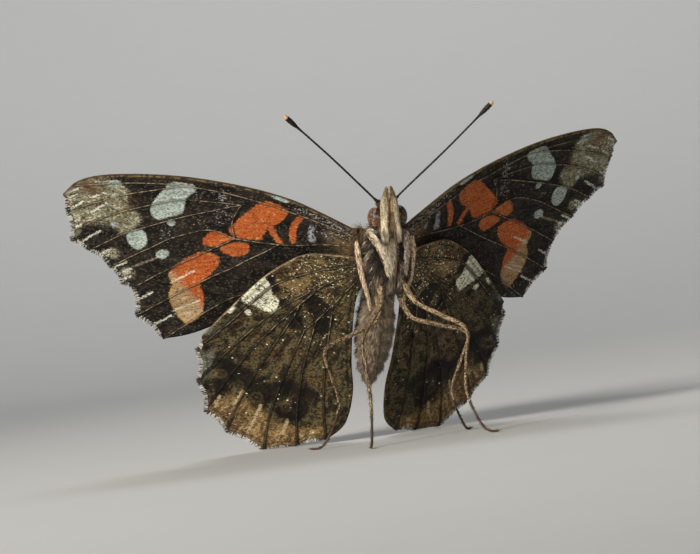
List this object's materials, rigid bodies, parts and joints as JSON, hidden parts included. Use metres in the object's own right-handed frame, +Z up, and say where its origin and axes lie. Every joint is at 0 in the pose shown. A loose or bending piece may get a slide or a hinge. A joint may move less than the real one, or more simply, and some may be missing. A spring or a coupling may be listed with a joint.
{
  "type": "red admiral butterfly",
  "caption": "Life-size still model of a basking butterfly with open scalloped wings, clubbed feelers and slender legs.",
  "frame": {"origin": "on the floor under the middle of the butterfly's own box", "axes": "+Z up; the butterfly faces -Y with its body tipped nose up; +X is its own left side and runs along the wing span"},
  "size_m": [0.0638, 0.0276, 0.0349],
  "materials": {
    "body_fur": "soft grey-brown hair",
    "abdomen_scales": "velvety dark brown scales",
    "head_fur": "short brown hair",
    "eye": "glossy mottled brown facets",
    "palp_scales": "beige and grey-brown scales",
    "proboscis_horn": "smooth dark horn",
    "antenna_horn": "dark ringed rod with a pale club tip",
    "forewing_scales": "powdery scales, black with red band and white spots",
    "hindwing_scales": "powdery scales, marbled brown below and red bordered above",
    "leg_scales": "beige scales with dark spines"
  },
  "bodies": {
    "root": {"thorax": "body_fur", "abdomen": "abdomen_scales", "head": "head_fur", "eye_left": "eye", "eye_right": "eye", "palp_left": "palp_scales", "palp_right": "palp_scales", "proboscis": "proboscis_horn", "antenna_left": "antenna_horn", "antenna_right": "antenna_horn", "forewing_left": "forewing_scales", "forewing_right": "forewing_scales", "hindwing_left": "hindwing_scales", "hindwing_right": "hindwing_scales", "foreleg_left": "leg_scales", "foreleg_right": "leg_scales", "midleg_left": "leg_scales", "midleg_right": "leg_scales", "hindleg_left": "leg_scales", "hindleg_right": "leg_scales"}
  },
  "joints": []
}
